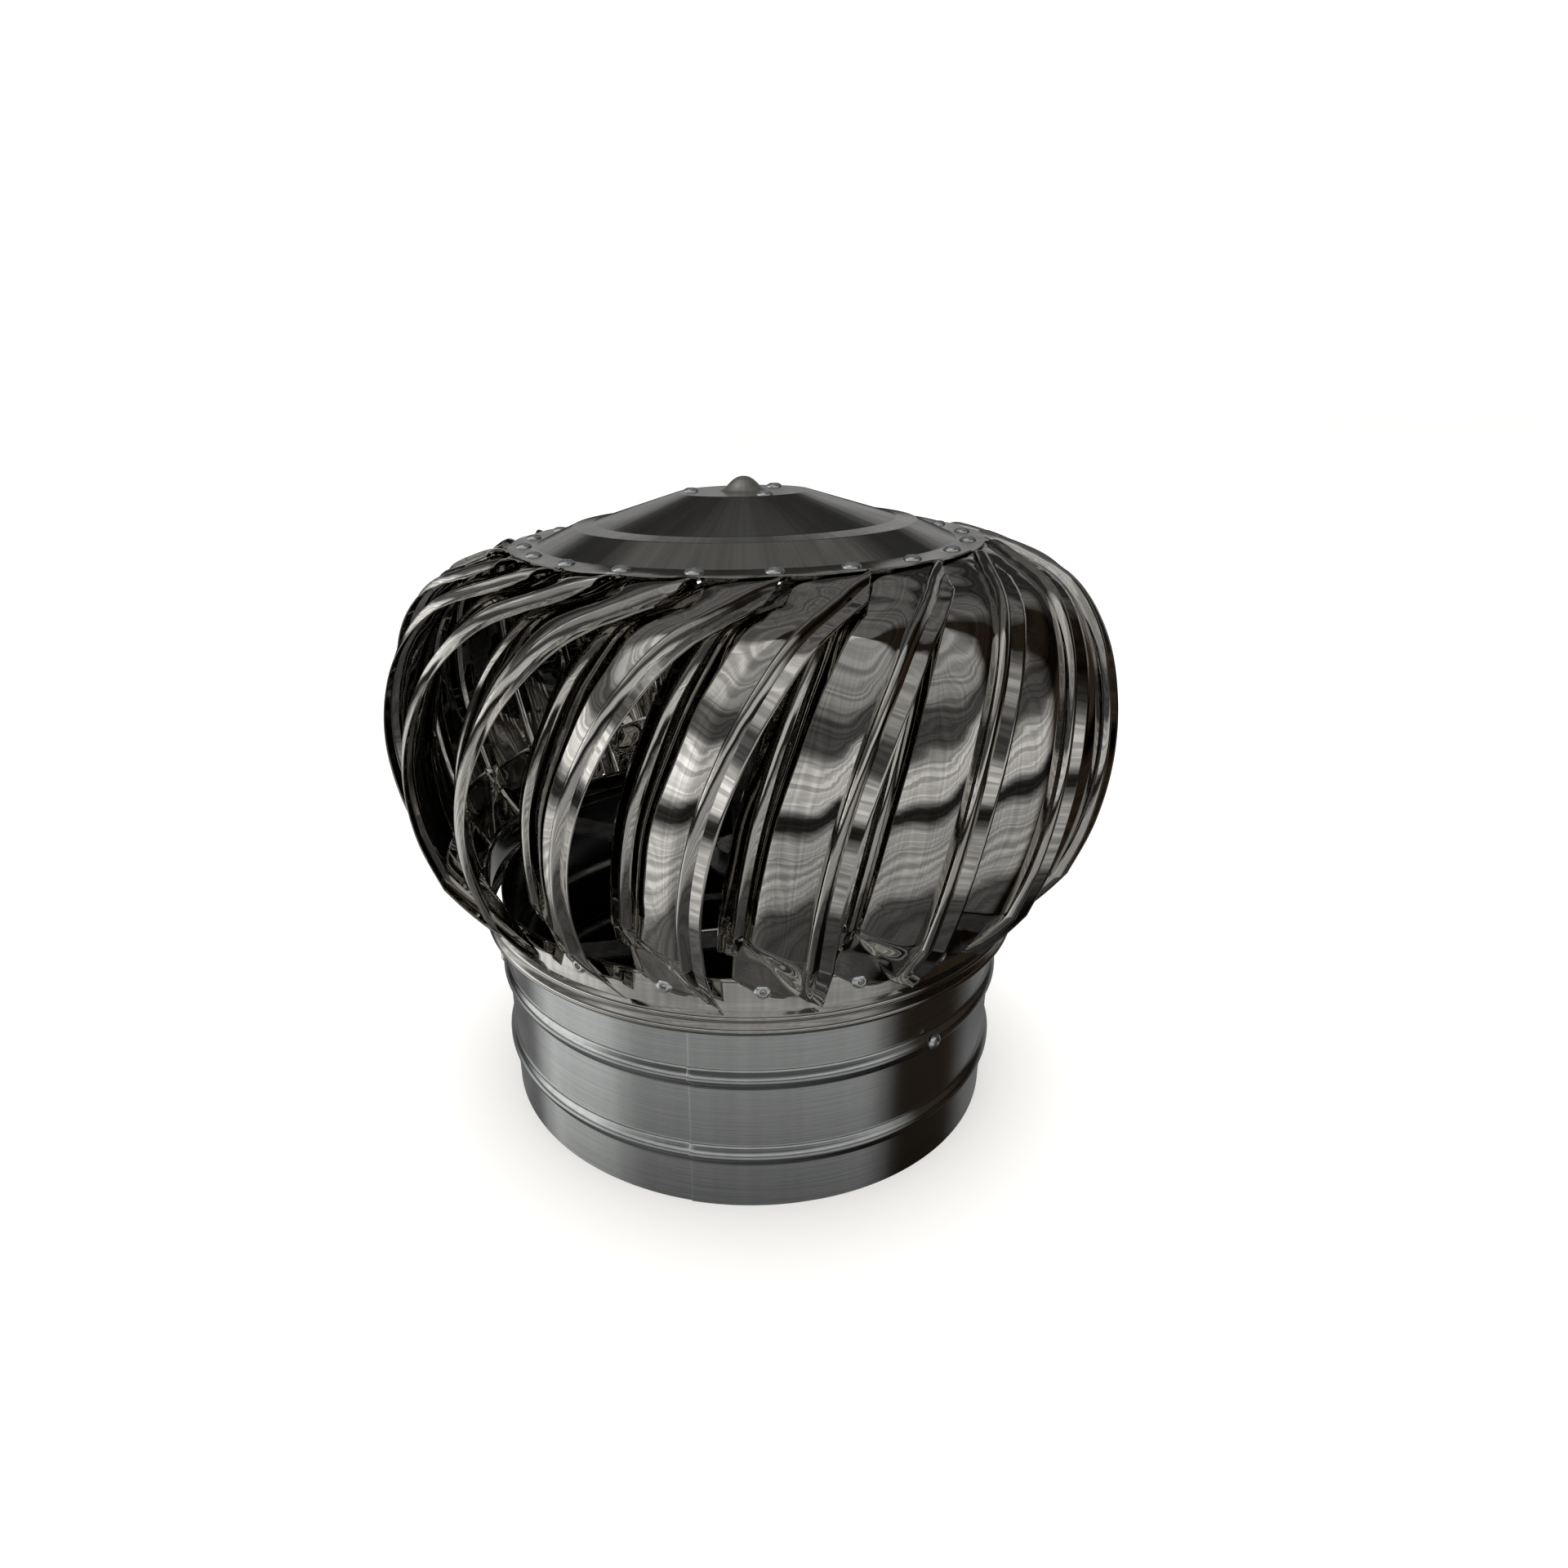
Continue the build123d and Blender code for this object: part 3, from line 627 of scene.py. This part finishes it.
ripple = add(tree, "ShaderNodeBump", {"Strength": 1.0, "Distance": 0.00002}, {"Height": waves.outputs[0]})
presses = add(tree, "ShaderNodeTexWave",
              {"bands_direction": "Y", "Scale": 2.8, "Distortion": 0.4, "Detail": 1.0},
              {"Vector": place.outputs[0]})
down = add(tree, "ShaderNodeSeparateXYZ", links={0: place.outputs[0]})
upper = add(tree, "ShaderNodeMapRange", {"From Min": 1.5, "From Max": 0.9, "To Min": 0.15},
            {"Value": down.outputs["Y"]})
pressed = add(tree, "ShaderNodeMath", {"operation": "MULTIPLY"},
              {0: presses.outputs[1], 1: upper.outputs[0]})
crimped = add(tree, "ShaderNodeBump", {"Strength": 1.0, "Distance": 0.00005},
              {"Height": pressed.outputs[0], "Normal": ripple.outputs[0]})
tree.links.new(tint.outputs[0], shader.inputs["Base Color"])
tree.links.new(gloss.outputs[0], shader.inputs["Roughness"])
tree.links.new(crimped.outputs[0], shader.inputs["Normal"])

for number in range(VANE_COUNT):
    name = f"{number + 1:02d}"
    fit("strip_" + name, make_vane(number), polished_strip, "vane_stainless",
        "rotor", "vane_" + name, sheet=0.6)

# ---- Blind rivets ----
# Aluminium pop rivets with low domed heads. Each keeps the broken end of its steel mandrel in the
# middle, sunk in the open end of the rivet.
RIVET_LINE = [(0.02, -2.0), (2.0, -2.0), (2.0, 0.0), (4.4, 0.0), (4.4, 0.35), (4.0, 0.75), (3.4, 1.2),
              (2.7, 1.55),
              (2.1, 1.7), (1.8, 1.6), (1.7, -1.2), (0.9, -1.2), (0.9, 0.5), (0.5, 0.8), (0.02, 0.85)]
aluminium = bpy.data.materials.new("bright_aluminium")
aluminium.use_nodes = True
tree = aluminium.node_tree
shader = tree.nodes["Principled BSDF"]
shader.inputs["Metallic"].default_value = 1.0
place = add(tree, "ShaderNodeTexCoord")
scuffs = add(tree, "ShaderNodeTexNoise", {"Scale": 900.0, "Detail": 3.0},
             {"Vector": place.outputs["Object"]})
tint = add(tree, "ShaderNodeValToRGB", {"stops": [(0.3, "#D2D4D6"), (0.7, "#E9EAEA")]},
           {"Fac": scuffs.outputs[0]})
gloss = add(tree, "ShaderNodeMapRange", {"To Min": 0.15, "To Max": 0.35}, {"Value": scuffs.outputs[0]})
ripple = add(tree, "ShaderNodeBump", {"Strength": 1.0, "Distance": 0.00001}, {"Height": scuffs.outputs[0]})
tree.links.new(tint.outputs[0], shader.inputs["Base Color"])
tree.links.new(gloss.outputs[0], shader.inputs["Roughness"])
tree.links.new(ripple.outputs[0], shader.inputs["Normal"])

for name, node, body, count, first, radius, height, upright in (
    ("rim_blind_rivets", "cap_rim_rivets", "rotor", VANE_COUNT, CAP_RIVET_AZIMUTH, 118.4, 328.0, True),
    ("ring_blind_rivets", "ring_rivets", "rotor", VANE_COUNT, 0.9, 158.9, 140.0, False),
    ("flange_blind_rivets", "bearing_cup_rivets", "rotor", 3, 21.0, 28.4, 352.0, True),
    ("bracket_blind_rivets", "throat_rivets", "base", 3, 38.4, 153.2, 82.0, False),
):
    bm = bmesh.new()
    for k in range(count):
        corners = [bm.verts.new((r, 0, z)) for r, z in RIVET_LINE]
        rim = [bm.edges.new(pair) for pair in zip(corners, corners[1:])]
        made = bmesh.ops.spin(bm, geom=corners + rim, cent=(0, 0, 0), axis=(0, 0, 1), angle=math.tau,
                              steps=20, use_merge=True)
        fresh = [v for v in bm.verts if not v.tag]
        if not upright:
            bmesh.ops.rotate(bm, cent=(0, 0, 0), matrix=Matrix.Rotation(math.pi / 2, 3, "X"), verts=fresh)
        bmesh.ops.translate(bm, vec=(0, -radius, height), verts=fresh)
        turn = Matrix.Rotation(math.radians(first + 360 / count * k), 3, "Z")
        bmesh.ops.rotate(bm, cent=(0, 0, 0), matrix=turn, verts=fresh)
        for vert in fresh:
            vert.tag = True
    bmesh.ops.remove_doubles(bm, verts=bm.verts, dist=0.001)
    bmesh.ops.recalc_face_normals(bm, faces=bm.faces)
    fit(name, bm, aluminium, "rivet_aluminium", body, node)

# ---- Shaft, nuts, brackets and bearings ----
# Zinc-plated steel brackets carry a turned steel shaft with lock nuts; two sealed ball bearings run
# on it in pressed cups.
for name, tones, rough, nodes in (
    ("zinc_plated_steel", ("#9EA1A3", "#BFC1C2"), (0.25, 0.45),
     ("throat_bracket", "rotor_bracket", "upper_bearing_cup", "lower_bearing_cup")),
    ("turned_steel", ("#7C7D7E", "#9B9C9C"), (0.25, 0.40),
     ("centre_shaft", "shaft_lock_nut_lower", "shaft_lock_nut_upper",
       "shaft_top_nut", "shaft_retaining_ring")),
    ("ground_bearing_steel", ("#A5A6A8", "#BDBEC0"), (0.12, 0.22),
     ("upper_bearing_inner_race", "lower_bearing_inner_race", "upper_bearing_outer_race",
      "lower_bearing_outer_race")),
):
    steel = bpy.data.materials.new(name)
    steel.use_nodes = True
    tree = steel.node_tree
    shader = tree.nodes["Principled BSDF"]
    shader.inputs["Metallic"].default_value = 1.0
    place = add(tree, "ShaderNodeTexCoord")
    grain = add(tree, "ShaderNodeTexNoise", {"Scale": 160.0, "Detail": 5.0},
                {"Vector": place.outputs["Object"]})
    tint = add(tree, "ShaderNodeValToRGB", {"stops": [(0.35, tones[0]), (0.65, tones[1])]},
               {"Fac": grain.outputs[0]})
    gloss = add(tree, "ShaderNodeMapRange", {"To Min": rough[0], "To Max": rough[1]},
                {"Value": grain.outputs[0]})
    ripple = add(tree, "ShaderNodeBump", {"Strength": 0.15, "Distance": 0.0004},
                 {"Height": grain.outputs[0]})
    tree.links.new(tint.outputs[0], shader.inputs["Base Color"])
    tree.links.new(gloss.outputs[0], shader.inputs["Roughness"])
    tree.links.new(ripple.outputs[0], shader.inputs["Normal"])
    for node in nodes:
        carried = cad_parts[node]
        carried.data.materials.clear()
        carried.data.materials.append(steel)
